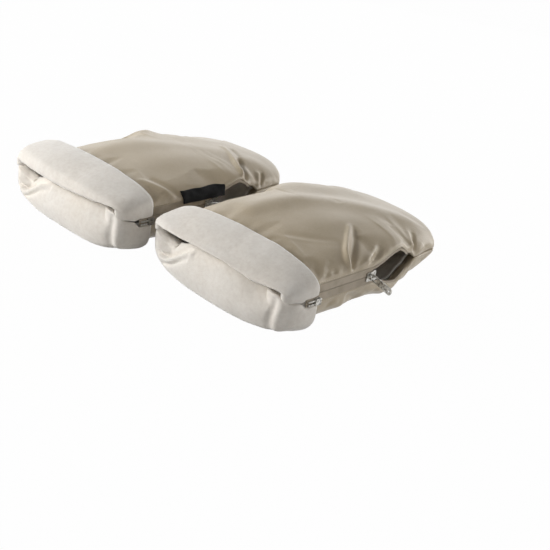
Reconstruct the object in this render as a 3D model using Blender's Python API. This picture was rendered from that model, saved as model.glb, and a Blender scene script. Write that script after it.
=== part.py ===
"""A pair of padded hand muffs for the handlebar of a pushchair.

Each muff is two padded halves that open like a book about the front seam of the nose. The
fleece lining is turned out over the mouth as a deep cuff, and a separable zip closes each side
from the cuff to the gape that the handlebar passes through.

Frame: +X along the handlebar to the right hand, +Y forward to the noses, +Z up, with the
origin on the resting face under the middle of the pair. Lengths are in metres.
"""

import math

import bmesh
import bpy
from mathutils import Matrix, Vector

# The pair
muff_gap = 0.034
left_setback = 0.022

# One muff, over its padding
muff_depth = 0.280
shell_width = 0.172
nose_width = 0.152
chain_height = 0.0395
upper_crest = {"right": 0.0355, "left": 0.0300}
lower_crest = 0.0405
upper_mouth_crest = {"right": 0.0105, "left": 0.0120}
lower_mouth_crest = 0.0300
mouth_ramp = 0.145
belly_start = 0.025
belly_ramp = 0.045
mouth_bow = 0.008
nose_bow = 0.025
nose_start = 0.072
upper_nose_length = 0.195
lower_nose_length = 0.123
nose_wall_ratio = 1.3
nose_corner = 0.022

# The crown's ridge, a soft fold from the cuff's far corner to the nose: where it runs in plan
# as (share of the half width, share of the half depth), how wide it is and how high it stands
ridge_shares = ((-0.40, -0.40), (-0.30, -0.11), (0.00, 0.19), (0.32, 0.42), (0.72, 0.70))
ridge_width = 0.016
ridge_heights = {"right": 0.0034, "left": 0.0010}
ridge_fade = 0.030

# Shares of a cross-section: its squareness, and how sharply the plan rounds at its ends
upper_section_shares = (0.80, 0.86)
lower_section_shares = (0.84, 0.74)
lower_mouth_shares = (0.74, 0.58)
upper_nose_shares = (2.6, 0.5)
lower_nose_shares = (2.2, 0.75)
plan_round_power = 3.0
gape_peak_share = 0.68

# Layers, from the outside in
cuff_thickness = 0.010
shell_thickness = 0.009
lining_thickness = 0.003
layer_gap = 0.0003
lining_gap = 0.0010
rim_gap = 0.0009
seam_gap = 0.00015
front_gap = 0.0012

# The turned-out cuff
cuff_depth = 0.047
roll_depth = 0.020
cuff_rim = 0.0045
lip_rim = 0.0020
slit_half_height = 0.0030
lip_length = 0.005

# The side openings
side_rim = 0.009
gape_start = -0.011
gape_end = 0.054
gape_seam_length = 0.013
upper_gape_rise = 0.011
lower_gape_drop = 0.010

# The zips
chain_pitch = 0.0036
tooth_thickness = 0.0013
tooth_depth = 0.0020
tooth_root = 0.0032
tooth_hook = 0.0011
hook_gap = 0.0003
tape_thickness = 0.0010
tape_recess = 0.0002
tape_edge = 0.0003
gape_tape_width = 0.0035
tape_cuff_cover = 0.007
stop_distance = 0.0008

slider_place = -0.0175
slider_length = 0.013
slider_tail_width = 0.0092
slider_head_width = 0.0120
slider_plate = 0.0012
slider_fit = 0.0003
# The plate's edge as (share of its half length, share of its half width at the tail or the head)
slider_tail_shares = ((-1.00, 0.80), (-0.84, 1.00), (0.10, 1.00))
slider_head_shares = ((0.55, 1.00), (0.90, 0.92), (1.00, 0.55))
slider_flange = 0.0009
slider_flange_inset = 0.0014
slider_flange_length = 0.0085
post_length = 0.0026
post_width = 0.0020
bridge_width = 0.0018
bridge_corner = 0.0005
bridge_thickness = 0.0010
bridge_leg = 0.0012
bridge_length = 0.0094
bridge_clear = 0.0033

tab_length = 0.025
tab_width = 0.0070
tab_thickness = 0.0012
tab_window_length = 0.0056
tab_window_width = 0.0048
tab_hole_radius = 0.0010
tab_hole_inset = 0.0032
tab_tip_radius = 0.0022
tab_droop = math.radians(15)
inner_tab_turn = math.radians(75)

end_tape_length = 0.017
end_tape_gap = 0.0009
end_tape_recess = 0.0010
end_box_length = 0.0070
end_box_width = 0.0064
end_box_thickness = 0.0030
end_box_wall = 0.0007
end_box_inset = 0.0006
end_pin_radius = 0.0008
end_pin_length = 0.0090
end_pin_spacing = 0.0032

# The woven label on the left muff
label_length = 0.058
label_width = 0.0115
label_thickness = 0.0008
label_place = -0.019
label_lift = 0.0065

# One overrun serves every cut and every union
overrun = 0.0004
corner_bevel = 0.0003
smooth_angle = math.radians(50)

# Counts
section_steps = 16
lining_section_steps = 8
round_steps = 12
tip_steps = 3

# Stations along the shell, as shares of its length, closer together beside the gape
shell_stops = (0, 0.08, 0.18, 0.28, 0.36, 0.41, 0.45, 0.49, 0.53, 0.56, 0.59, 0.62, 0.65, 0.69)
shell_stops += (0.72, 0.78, 0.85, 0.92, 0.97, 1)

# The cuff's outline: (share of its depth from the hem, share of its thickness), then the front
# roll as (share of its depth from the mouth, share of the way down to the slit)
cuff_top_shares = ((0.05, 0.93), (0.30, 1.05), (0.58, 1.00), (0.82, 0.72))
cuff_edge_share = 0.45
upper_roll_shares = ((0.09, 0.28), (0.00, 0.56), (0.05, 0.82), (0.16, 0.97), (0.30, 1.00))
lower_roll_shares = ((0.07, 0.24), (0.00, 0.50), (0.05, 0.78), (0.16, 0.93), (0.30, 1.00))

# Places that follow from these sizes
mouth_y = -muff_depth / 2
nose_y = muff_depth / 2
hem_y = mouth_y + cuff_depth
shell_front_y = mouth_y + roll_depth
slider_y = slider_place + slider_length / 2
side_face = shell_width / 2
muff_spacing = shell_width + muff_gap
lining_outer = -(shell_thickness + lining_gap)
lining_inner = lining_outer - lining_thickness

# Each half: which way it lies from the chain, and its own sizes
UPPER = {
    "name": "top",
    "sign": 1,
    "ramp_start": mouth_y,
    "ramp": mouth_ramp,
    "nose_length": upper_nose_length,
    "nose_shares": upper_nose_shares,
    "gape": upper_gape_rise,
    "shares": upper_section_shares,
    "mouth_shares": upper_section_shares,
    "roll": upper_roll_shares,
}
LOWER = {
    "name": "bottom",
    "sign": -1,
    "crest": lower_crest,
    "mouth_crest": lower_mouth_crest,
    "ramp_start": hem_y - belly_start,
    "ramp": belly_ramp + belly_start,
    "nose_length": lower_nose_length,
    "nose_shares": lower_nose_shares,
    "gape": lower_gape_drop,
    "shares": lower_section_shares,
    "mouth_shares": lower_mouth_shares,
    "roll": lower_roll_shares,
}

COLOURS = {
    "shell": ((0.42, 0.37, 0.31), 0.48, 0.0),
    "fleece": ((0.72, 0.69, 0.65), 0.92, 0.0),
    "tape": ((0.30, 0.25, 0.21), 0.75, 0.0),
    "metal": ((0.62, 0.61, 0.58), 0.28, 1.0),
    "label": ((0.012, 0.012, 0.013), 0.62, 0.0),
}


def clear_scene():
    for thing in list(bpy.data.objects):
        bpy.data.objects.remove(thing)


def material(name):
    made = bpy.data.materials.get(name)
    if made:
        return made
    colour, roughness, metallic = COLOURS[name]
    made = bpy.data.materials.new(name)
    made.use_nodes = True
    shader = made.node_tree.nodes["Principled BSDF"]
    shader.inputs["Base Color"].default_value = (*colour, 1)
    shader.inputs["Roughness"].default_value = roughness
    shader.inputs["Metallic"].default_value = metallic
    return made


def clamp(value):
    return min(max(value, 0), 1)


def smooth(value):
    share = clamp(value)
    return share * share * (3 - 2 * share)


# The surface of a half. A point is named by its angle round the section (0 and pi at the two
# side rims), its station along the muff and how far it stands out from the shell's face.


def half_width(y):
    narrowing = smooth((y - gape_start) / (nose_y - gape_start))
    into_corner = clamp((y - nose_y) / nose_corner + 1)
    rounding = nose_corner * (1 - math.sqrt(1 - into_corner**2))
    return (shell_width + (nose_width - shell_width) * narrowing) / 2 - rounding


def side_rim_height(half, y):
    """How far the side edge of the padding stands from the chain."""
    peak = gape_start + (gape_end - gape_start) * gape_peak_share
    spread = peak - gape_start if y < peak else gape_end - peak
    bulge = half["gape"] * smooth(1 - abs(y - peak) / spread)
    closing = smooth((y - gape_end) / gape_seam_length)
    return (side_rim + bulge) * (1 - closing) + seam_gap * closing


def crest_height(half, y, out):
    """How far the crest stands from the chain, rising from the mouth and rounding at the nose."""
    rise = math.sin(math.pi / 2 * clamp((y - half["ramp_start"]) / half["ramp"]))
    full = half["mouth_crest"] + (half["crest"] - half["mouth_crest"]) * rise
    length = half["nose_length"] + out * nose_wall_ratio
    along = clamp((y - nose_y + half["nose_length"]) / length)
    power, root = half["nose_shares"]
    return (full + out) * (1 - along**power) ** root


def nose_end(out):
    """The station where a layer closes at the nose."""
    return nose_y + min(out, 0) * nose_wall_ratio


def plan_shift(y, across):
    """The mouth and the nose are bowed in plan, so their corners lie further back."""
    to_mouth = clamp((hem_y - y) / cuff_depth)
    to_nose = clamp((y - nose_start) / (nose_y - nose_start))
    return (mouth_bow * to_mouth - nose_bow * to_nose) * abs(across) ** plan_round_power


def section_shares(half, y):
    """A section is squarer at the mouth than behind the cuff."""
    back = smooth((y - shell_front_y) / (slider_y - shell_front_y))
    return [
        mouth * (1 - back) + full * back
        for mouth, full in zip(half["mouth_shares"], half["shares"])
    ]


def place(half, angle, y, out):
    squareness, flatness = section_shares(half, y)
    across = math.copysign(abs(math.cos(angle)) ** squareness, math.cos(angle))
    up = max(math.sin(angle), 0) ** flatness
    crest = crest_height(half, y, out)
    rim = side_rim_height(half, y)
    if y < hem_y:
        rim = min(rim, max(crest, lip_rim))
    rise = crest - rim
    if y >= nose_end(out):
        rise = 0
    height = rim + rise * up
    return Vector(
        (
            (half_width(y) + out) * across,
            y + plan_shift(y, across),
            max(chain_height + half["sign"] * height, 0),
        )
    )


def ridge_share(point):
    """How far the crown's ridge lifts a point of the upper shell, as a share of its height."""
    places = [Vector((x * side_face, y * nose_y)) for x, y in ridge_shares]
    here = point.xy
    gaps = []
    for start, end in zip(places, places[1:]):
        along = clamp((here - start).dot(end - start) / (end - start).length_squared)
        gaps.append((here - start.lerp(end, along)).length)
    behind_hem = smooth((point.y - hem_y) / ridge_fade)
    before_nose = smooth((nose_y - nose_bow - point.y) / ridge_fade)
    return math.exp(-((min(gaps) / ridge_width) ** 2)) * behind_hem * before_nose


def skirt(half, side, y, out, rim):
    """A point straight under the side edge, for what reaches nearer to the chain than the shell."""
    return Vector(
        (
            side * (half_width(y) + out),
            y + plan_shift(y, side),
            chain_height + half["sign"] * rim,
        )
    )


def angles(steps):
    return [math.pi * step / steps for step in range(steps + 1)]


# Meshes


def add_object(name, points, faces, finish, soft=True):
    mesh = bpy.data.meshes.new(name)
    mesh.from_pydata([tuple(point) for point in points], [], faces)
    shaped = bmesh.new()
    shaped.from_mesh(mesh)
    bmesh.ops.recalc_face_normals(shaped, faces=shaped.faces)
    shaped.to_mesh(mesh)
    shaped.free()
    mesh.materials.append(material(finish))
    made = bpy.data.objects.new(name, mesh)
    bpy.context.scene.collection.objects.link(made)
    if soft:
        mesh.shade_smooth()
        mesh.set_sharp_from_angle(angle=smooth_angle)
    return made


def grid_faces(rows, columns, start, flip):
    """Triangles over a grid of points, every cell cut along the same diagonal."""
    faces = []
    for row in range(rows - 1):
        for column in range(columns - 1):
            a = start + row * columns + column
            b = a + 1
            c = a + columns + 1
            d = a + columns
            faces += [(a, d, c), (a, c, b)] if flip else [(a, b, c), (a, c, d)]
    return faces


def padded_sheet(name, outer, inner, finish):
    """A closed sheet between two grids of points that have the same rows and columns."""
    rows = len(outer)
    columns = len(outer[0])
    size = rows * columns
    points = [point for row in outer for point in row]
    points += [point for row in inner for point in row]
    faces = grid_faces(rows, columns, 0, False)
    faces += grid_faces(rows, columns, size, True)
    border = [column for column in range(columns)]
    border += [row * columns + columns - 1 for row in range(1, rows)]
    border += [(rows - 1) * columns + column for column in range(columns - 2, -1, -1)]
    border += [row * columns for row in range(rows - 2, 0, -1)]
    for index, here in enumerate(border):
        there = border[(index + 1) % len(border)]
        faces += [(here, there, there + size), (here, there + size, here + size)]
    return add_object(name, points, faces, finish)


def swept_loop(name, loops, finish, soft=True):
    """A closed solid through a row of loops of points, with flat ends."""
    count = len(loops[0])
    points = [point for loop in loops for point in loop]
    faces = []
    for index in range(len(loops) - 1):
        for corner in range(count):
            a = index * count + corner
            b = index * count + (corner + 1) % count
            faces += [(a, b, b + count), (a, b + count, a + count)]
    faces.append(tuple(range(count)))
    last = (len(loops) - 1) * count
    faces.append(tuple(range(last, last + count)))
    return add_object(name, points, faces, finish, soft)


def extruded(name, outline, thickness, finish):
    """A flat outline in the XY plane, made thickness deep from z = 0 upwards."""
    floor = [Vector((x, y, 0)) for x, y in outline]
    top = [Vector((x, y, thickness)) for x, y in outline]
    return swept_loop(name, [floor, top], finish, soft=False)


def block(name, low, high, finish):
    outline = [(low[0], low[1]), (high[0], low[1]), (high[0], high[1]), (low[0], high[1])]
    made = extruded(name, outline, high[2] - low[2], finish)
    made.data.transform(Matrix.Translation((0, 0, low[2])))
    return made


def rod(name, radius, start, end, finish):
    """A round bar along Y."""
    turns = [2 * math.pi * step / round_steps for step in range(round_steps)]
    loops = [
        [Vector((start[0] + radius * math.cos(a), y, start[2] + radius * math.sin(a))) for a in turns]
        for y in (start[1], end[1])
    ]
    return swept_loop(name, loops, finish, soft=False)


def combine(base, other, operation):
    """Joins or cuts base with other, and removes other."""
    step = base.modifiers.new(other.name, "BOOLEAN")
    step.operation = operation
    step.object = other
    step.solver = "EXACT"
    bpy.context.view_layer.update()
    shape = base.evaluated_get(bpy.context.evaluated_depsgraph_get())
    mesh = bpy.data.meshes.new_from_object(shape)
    base.modifiers.clear()
    base.data = mesh
    bpy.data.objects.remove(other)
    return base


# The soft pieces of a half


def shell_stations():
    last = nose_end(0)
    return [shell_front_y + (last - shell_front_y) * stop for stop in shell_stops]


def sheet_rows(half, out, steps):
    first = shell_front_y
    last = nose_end(out)
    return [
        [place(half, angle, first + (last - first) * stop, out) for angle in angles(steps)]
        for stop in shell_stops
    ]


def make_shell(muff, half):
    outer = sheet_rows(half, 0, section_steps)
    inner = sheet_rows(half, -shell_thickness, section_steps)
    if half["sign"] > 0:
        for row in outer:
            for point in row:
                point.z += ridge_heights[muff] * ridge_share(point)
    return padded_sheet(f"{muff}_{half['name']}_shell", outer, inner, "shell")


def make_lining(muff, half):
    outer = sheet_rows(half, lining_outer, lining_section_steps)
    inner = sheet_rows(half, lining_inner, lining_section_steps)
    return padded_sheet(f"{muff}_{half['name']}_lining", outer, inner, "fleece")


def cuff_profile(half):
    """The cuff's outline as (station, distance out): hem, top, front roll, back, underside."""
    full = cuff_thickness + half["mouth_crest"] - slit_half_height
    points = [(hem_y, layer_gap), (hem_y + corner_bevel, cuff_thickness * cuff_edge_share)]
    for along, share in cuff_top_shares:
        points.append((hem_y - cuff_depth * along, cuff_thickness * share))
    for along, depth in half["roll"]:
        points.append((mouth_y + cuff_depth * along, cuff_thickness - full * depth))
    back = shell_front_y - front_gap
    points.append((back, lining_inner))
    points.append((back, layer_gap))
    points += [(y, layer_gap) for y in shell_stations() if back < y < hem_y]
    return points


def cuff_rim_height(y):
    return lip_rim + (cuff_rim - lip_rim) * smooth((y - mouth_y) / lip_length / 2)


def make_cuff(muff, half):
    profile = cuff_profile(half)
    loops = [[skirt(half, 1, y, out, cuff_rim_height(y)) for y, out in profile]]
    for angle in angles(section_steps):
        loops.append([place(half, angle, y, out) for y, out in profile])
    loops.append([skirt(half, -1, y, out, cuff_rim_height(y)) for y, out in profile])
    return swept_loop(f"{muff}_{half['name']}_cuff", loops, "fleece")


# The zips. Each is drawn for the +X side, and mirrored to the other.


def beside_shell(half, y):
    """Half width and rim height of the shell at a station, straight between its own stations."""
    stations = shell_stations()
    after = next(index for index, station in enumerate(stations) if station >= y)
    low, high = stations[after - 1], stations[after]
    share = (y - low) / (high - low)
    wide = half_width(low) * (1 - share) + half_width(high) * share
    rim = side_rim_height(half, low) * (1 - share) + side_rim_height(half, high) * share
    return wide, rim


def tape_sections(half):
    """(station, half width, lower edge, upper edge) of the tape past the chain's last tooth."""
    parting_y = slider_y + slider_length / 2 - post_length - slider_fit
    parting = post_width / 2 + slider_fit
    stations = [slider_y + stop_distance, parting_y]
    stations += [y for y in shell_stations() if parting_y + slider_fit < y < gape_end]
    sections = []
    for station in stations:
        wide, rim = beside_shell(half, station)
        low = max(rim - gape_tape_width, parting)
        if station < parting_y:
            low = tape_edge
        sections.append((station, wide, low, rim - rim_gap))
    return sections


def make_tape(muff, half, side_name, side):
    """A tape with its row of teeth on the inner face, drawn as one comb."""
    sign = half["sign"]
    front = side_face - tape_recess
    back = front - tape_thickness
    deep = back - tooth_depth
    phase = 0 if sign > 0 else chain_pitch / 2
    start = hem_y - tape_cuff_cover
    last = slider_y + stop_distance
    points = []
    faces = []

    def add(x, y, height):
        points.append(Vector((side * x, y, chain_height + sign * height)))
        return len(points) - 1

    top = side_rim - rim_gap
    outer_low = [add(front, start, tape_edge)]
    outer_high = [add(front, start, top)]
    inner_low = [add(back, start, tape_edge)]
    inner_mid = [add(back, start, tooth_root)]
    inner_high = [add(back, start, top)]
    y = start + chain_pitch / 2 + phase
    while y + tooth_thickness < last:
        rings = []
        for edge in (y, y + tooth_thickness):
            inner_low.append(add(back, edge, tape_edge))
            inner_mid.append(add(back, edge, tooth_root))
            rings.append(
                (
                    inner_low[-1],
                    add(back - hook_gap, edge, -tooth_hook),
                    add(deep, edge, -tooth_hook),
                    add(deep, edge, tooth_root),
                    inner_mid[-1],
                )
            )
        near, far = rings
        faces += [near, tuple(reversed(far))]
        for corner in range(4):
            faces.append((near[corner], near[corner + 1], far[corner + 1], far[corner]))
        y += chain_pitch
    # the plain stretch past the last tooth, parting round the gape
    for station, wide, low, high in tape_sections(half):
        skin = wide - tape_recess
        outer_low.append(add(skin, station, low))
        outer_high.append(add(skin, station, high))
        inner_low.append(add(skin - tape_thickness, station, low))
        inner_mid.append(add(skin - tape_thickness, station, (low + high) / 2))
        inner_high.append(add(skin - tape_thickness, station, high))
    teeth = len(inner_low) - len(outer_low)
    # back face strips between the teeth
    for index in range(len(inner_low) - 1):
        on_tooth = index % 2 == 1 and index < teeth
        if not on_tooth:
            faces.append(
                (inner_low[index], inner_mid[index], inner_mid[index + 1], inner_low[index + 1])
            )
    # the long faces along the toothed stretch, then each plain stretch
    faces.append((*inner_mid[: teeth + 2], inner_high[1], inner_high[0]))
    faces.append((*inner_low[: teeth + 2], outer_low[1], outer_low[0]))
    for index in range(1, len(outer_low) - 1):
        here = index + teeth
        faces.append(
            (inner_mid[here], inner_mid[here + 1], inner_high[index + 1], inner_high[index])
        )
        faces.append((inner_low[here], inner_low[here + 1], outer_low[index + 1], outer_low[index]))
    for index in range(len(outer_low) - 1):
        faces.append(
            (outer_low[index], outer_low[index + 1], outer_high[index + 1], outer_high[index])
        )
        faces.append(
            (outer_high[index], outer_high[index + 1], inner_high[index + 1], inner_high[index])
        )
    faces.append((outer_low[0], outer_high[0], inner_high[0], inner_mid[0], inner_low[0]))
    faces.append((outer_low[-1], outer_high[-1], inner_high[-1], inner_mid[-1], inner_low[-1]))
    return add_object(
        f"{muff}_{side_name}_{half['name']}_zip_tape", points, faces, "tape", soft=False
    )


def make_end_tape(muff, half, side_name, side):
    """The end of the tape, turned back with the cuff and showing on its side."""
    out = side_face + cuff_thickness - end_tape_recess
    low = chain_height + half["sign"] * tape_edge
    high = chain_height + half["sign"] * (cuff_rim - end_tape_gap)
    start = (out - tape_thickness, hem_y - end_tape_length, min(low, high))
    end = (out, hem_y - end_box_inset, max(low, high))
    made = block(f"{muff}_{side_name}_{half['name']}_tape_end", start, end, "tape")
    made.data.transform(Matrix.Scale(side, 4, (1, 0, 0)))
    if side < 0:
        made.data.flip_normals()
    return made


def end_metal_out():
    return side_face + cuff_thickness - end_tape_recess + layer_gap


def make_retainer_box(muff, side_name, side):
    """The box at the zip's end, with its fixed pin, open on top for the pin of the other tape."""
    out = end_metal_out()
    nose_side = hem_y - end_box_inset
    mouth_side = nose_side - end_box_length
    name = f"{muff}_{side_name}_zip_box"
    low = (out, mouth_side, -end_box_width / 2)
    high = (out + end_box_thickness, nose_side, end_box_width / 2)
    made = block(name, low, high, "metal")
    slot_low = (
        out + end_box_wall,
        mouth_side - overrun,
        end_pin_spacing / 2 - end_pin_radius - slider_fit,
    )
    slot_high = (
        out + end_box_thickness - end_box_wall,
        nose_side - end_box_wall,
        end_box_width / 2 + overrun,
    )
    made = combine(made, block("slot", slot_low, slot_high, "metal"), "DIFFERENCE")
    middle = out + end_box_thickness / 2
    pin = rod(
        "pin",
        end_pin_radius,
        (middle, mouth_side - end_pin_length, -end_pin_spacing / 2),
        (middle, mouth_side + end_box_wall, -end_pin_spacing / 2),
        "metal",
    )
    made = combine(made, pin, "UNION")
    return finish_side(made, side)


def make_insertion_pin(muff, side_name, side):
    """The loose pin on the top tape, standing in the box."""
    middle = end_metal_out() + end_box_thickness / 2
    nose_side = hem_y - end_box_inset
    made = rod(
        f"{muff}_{side_name}_zip_pin",
        end_pin_radius,
        (middle, nose_side - end_box_length - end_pin_length, end_pin_spacing / 2),
        (middle, nose_side - end_box_wall - slider_fit, end_pin_spacing / 2),
        "metal",
    )
    return finish_side(made, side)


def finish_side(made, side):
    """Lifts a piece drawn about the chain to its height, and mirrors it to its side."""
    made.data.transform(Matrix.Translation((0, 0, chain_height)))
    made.data.transform(Matrix.Scale(side, 4, (1, 0, 0)))
    if side < 0:
        made.data.flip_normals()
    return made


def upright(made, x):
    """Stands a plate drawn flat in (y, z) on edge, its thickness running out along X from x."""
    turn = Matrix(((0, 0, 1, x), (1, 0, 0, 0), (0, 1, 0, 0), (0, 0, 0, 1)))
    made.data.transform(turn)
    return made


def slider_outline():
    half = slider_length / 2
    edge = [(half * along, slider_tail_width / 2 * wide) for along, wide in slider_tail_shares]
    edge += [(half * along, slider_head_width / 2 * wide) for along, wide in slider_head_shares]
    return [(along, -wide) for along, wide in edge] + list(reversed(edge))


def bridge_outline(plate_top):
    """The bridge seen along Z, as (out, along): two legs let into the plate and a bar."""
    foot = plate_top - slider_plate / 2
    bar = plate_top + bridge_clear
    top = bar + bridge_thickness
    half = bridge_length / 2
    outline = [
        (foot, half),
        (top - bridge_corner, half),
        (top, half - bridge_corner),
    ]
    outline += [(x, -y) for x, y in reversed(outline)]
    outline += [(foot, bridge_leg - half), (bar, bridge_leg - half)]
    outline += [(bar, half - bridge_leg), (foot, half - bridge_leg)]
    return outline


def make_slider(muff, side_name, side):
    """Two plates round the chain, joined by the post that parts the tapes, with a bridge."""
    face = side_face - tape_recess + slider_fit
    behind = face - 2 * slider_fit - tape_thickness - tooth_depth - slider_plate
    name = f"{muff}_{side_name}_slider"
    made = upright(extruded(name, slider_outline(), slider_plate, "metal"), face)
    back = upright(extruded("back", slider_outline(), slider_plate, "metal"), behind)
    half = slider_length / 2
    post_low = (behind + slider_plate / 2, half - post_length, -post_width / 2)
    post_high = (face + slider_plate / 2, half - corner_bevel, post_width / 2)
    made = combine(made, block("post", post_low, post_high, "metal"), "UNION")
    made = combine(made, back, "UNION")
    inside = tooth_root + slider_fit
    flange_top = behind + slider_plate + tooth_depth
    for way in (-1, 1):
        edges = sorted((way * inside, way * (inside + slider_flange)))
        low = (behind + slider_plate / 2, -half + slider_flange_inset, edges[0])
        high = (flange_top, -half + slider_flange_length, edges[1])
        made = combine(made, block("flange", low, high, "metal"), "UNION")
    bridge = extruded("bridge", bridge_outline(face + slider_plate), bridge_width, "metal")
    bridge.data.transform(Matrix.Translation((0, 0, -bridge_width / 2)))
    made = combine(made, bridge, "UNION")
    made = finish_side(made, side)
    # it is drawn about y = 0, so its origin carries it to its place on the chain
    made.data.transform(Matrix.Translation((-side * face, 0, -chain_height)))
    made.location = Vector((side * face, slider_y, chain_height))
    return made


def tab_axle_out():
    face = side_face - tape_recess + slider_fit
    return face + slider_plate + bridge_clear - tab_thickness / 2 - slider_fit * 2 - tab_lean()


def tab_lean():
    """How far the drooping axle reaches out at the bridge's edge."""
    return bridge_width / 2 * math.sin(tab_droop)


def make_tab(muff, side_name, side, turn):
    """The pull tab, whose end bar is held under the slider's bridge."""
    half = tab_thickness / 2
    wide = tab_width / 2
    tip = tab_tip_radius
    outline = [(-half, -wide + corner_bevel), (tab_window_length, -wide)]
    for step in range(tip_steps + 1):
        angle = -math.pi / 2 + math.pi / 2 * step / tip_steps
        outline.append((tab_length - tip + tip * math.cos(angle), -wide + tip + tip * math.sin(angle)))
    outline += [(x, -z) for x, z in reversed(outline)]
    name = f"{muff}_{side_name}_pull_tab"
    made = extruded(name, outline, tab_thickness, "metal")
    window_low = (half, -tab_window_width / 2, -overrun)
    window_high = (half + tab_window_length, tab_window_width / 2, tab_thickness + overrun)
    made = combine(made, block("window", window_low, window_high, "metal"), "DIFFERENCE")
    hole = []
    for step in range(round_steps):
        angle = 2 * math.pi * step / round_steps
        x = tab_length - tab_hole_inset + tab_hole_radius * math.cos(angle)
        hole.append((x, tab_hole_radius * math.sin(angle)))
    cutter = extruded("hole", hole, tab_thickness + 2 * overrun, "metal")
    cutter.data.transform(Matrix.Translation((0, 0, -overrun)))
    made = combine(made, cutter, "DIFFERENCE")
    # drawn flat: x along the tab, y across it. Stood up: x out, y across becomes z
    made.data.transform(Matrix.Translation((0, 0, -half)))
    made.data.transform(Matrix.Rotation(math.pi / 2, 4, "X"))
    made.data.transform(Matrix.Rotation(turn, 4, "Z"))
    made.data.transform(Matrix.Rotation(tab_droop, 4, "Y"))
    made.data.transform(Matrix.Scale(side, 4, (1, 0, 0)))
    if side < 0:
        made.data.flip_normals()
    made.location = Vector((side * tab_axle_out(), slider_y, chain_height))
    return made


def make_label(muff, side):
    """A plain woven label sewn over the edge of the top shell."""
    out = side_face + layer_gap
    low = (out, label_place - label_length / 2, label_lift)
    high = (out + label_thickness, label_place + label_length / 2, label_lift + label_width)
    return finish_side(block(f"{muff}_label", low, high, "label"), side)


def make_muff(muff, outer_side):
    """One muff about its own middle. outer_side is the side away from the other muff."""
    pieces = []
    upper = {**UPPER, "crest": upper_crest[muff], "mouth_crest": upper_mouth_crest[muff]}
    halves = (upper, LOWER)
    for half in halves:
        pieces += [make_shell(muff, half), make_lining(muff, half), make_cuff(muff, half)]
    for side_name, side in (("outer", outer_side), ("inner", -outer_side)):
        for half in halves:
            pieces.append(make_tape(muff, half, side_name, side))
            pieces.append(make_end_tape(muff, half, side_name, side))
        pieces.append(make_retainer_box(muff, side_name, side))
        pieces.append(make_insertion_pin(muff, side_name, side))
        pieces.append(make_slider(muff, side_name, side))
        turn = 0 if side_name == "outer" else inner_tab_turn
        pieces.append(make_tab(muff, side_name, side, turn))
    return pieces


def carry(pieces, x, y):
    for piece in pieces:
        piece.location += Vector((x, y, 0))


def main():
    clear_scene()
    right = make_muff("right", 1)
    left = make_muff("left", -1)
    left.append(make_label("left", 1))
    carry(right, muff_spacing / 2, left_setback / 2)
    carry(left, -muff_spacing / 2, -left_setback / 2)


main()
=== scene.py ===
"""The looks of a pair of padded hand muffs for the handlebar of a pushchair.

Each muff has two padded halves of satin softshell, a fleece lining that is turned out over the
mouth as a deep cuff, and a zip at each side. Lengths are in metres, in the frame of the CAD model:
+X along the handlebar to the right hand, +Y forward to the noses, +Z up.
"""

import math

import bmesh
import bpy
import numpy as np
from mathutils import Matrix, Vector, noise
from mathutils.bvhtree import BVHTree


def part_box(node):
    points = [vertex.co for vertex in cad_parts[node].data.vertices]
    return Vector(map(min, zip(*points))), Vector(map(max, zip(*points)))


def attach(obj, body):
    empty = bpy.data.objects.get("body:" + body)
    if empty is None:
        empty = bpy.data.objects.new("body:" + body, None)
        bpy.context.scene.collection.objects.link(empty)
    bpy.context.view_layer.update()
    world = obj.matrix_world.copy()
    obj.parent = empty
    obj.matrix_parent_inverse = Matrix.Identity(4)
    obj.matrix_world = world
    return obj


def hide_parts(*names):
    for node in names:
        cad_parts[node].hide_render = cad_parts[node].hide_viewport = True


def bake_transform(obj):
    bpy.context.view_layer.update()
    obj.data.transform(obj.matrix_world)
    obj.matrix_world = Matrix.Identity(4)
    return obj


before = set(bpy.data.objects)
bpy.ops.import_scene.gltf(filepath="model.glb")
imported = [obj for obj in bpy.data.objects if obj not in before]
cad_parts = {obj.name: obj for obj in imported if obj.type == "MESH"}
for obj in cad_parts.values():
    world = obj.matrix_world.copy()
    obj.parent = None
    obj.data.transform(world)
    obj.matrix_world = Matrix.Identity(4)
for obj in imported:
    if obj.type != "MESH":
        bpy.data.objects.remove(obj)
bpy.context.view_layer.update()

# Places and sizes that the frame gives
shell_low, shell_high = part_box("right_top_shell")
left_low, left_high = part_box("left_top_shell")
cuff_low, cuff_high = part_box("right_top_cuff")
slider_low, slider_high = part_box("right_outer_slider")
label_low, label_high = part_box("left_label")
muff_depth = shell_high.y - cuff_low.y
mouth_y = -muff_depth / 2
nose_y = muff_depth / 2
shell_width = shell_high.x - shell_low.x
chain_height = (slider_low.z + slider_high.z) / 2
right_centre = np.array(((shell_low.x + shell_high.x) / 2, shell_high.y - nose_y, 0))
left_centre = np.array(((left_low.x + left_high.x) / 2, left_high.y - nose_y, 0))

# The padded form, as the solids have it: each crown over the zip's line, at its top and at the
# mouth, and how far before the hem the belly starts to round
upper_crest = {"right": 0.0355, "left": 0.0300}
upper_mouth_crest = {"right": 0.0105, "left": 0.0120}
belly_start = 0.025

# The nose, and how the ends bow in plan
nose_width = 0.152
nose_corner = 0.022
nose_start = 0.072
nose_wall_ratio = 1.3
mouth_bow = 0.008
nose_bow = 0.025
plan_round_power = 3.0

# The crown's ridge, through shares of the half width and the half depth
ridge_shares = ((-0.40, -0.40), (-0.30, -0.11), (0.00, 0.19), (0.32, 0.42), (0.72, 0.70))
ridge_width = 0.016
ridge_heights = {"right": 0.0034, "left": 0.0014}
ridge_fade = 0.030

# The zip's sides and the gape for the handlebar
side_rim = 0.009
slider_y = -0.011
gape_start = slider_y
gape_end = 0.054
gape_peak_share = 0.68
gape_seam_length = 0.013

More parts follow.
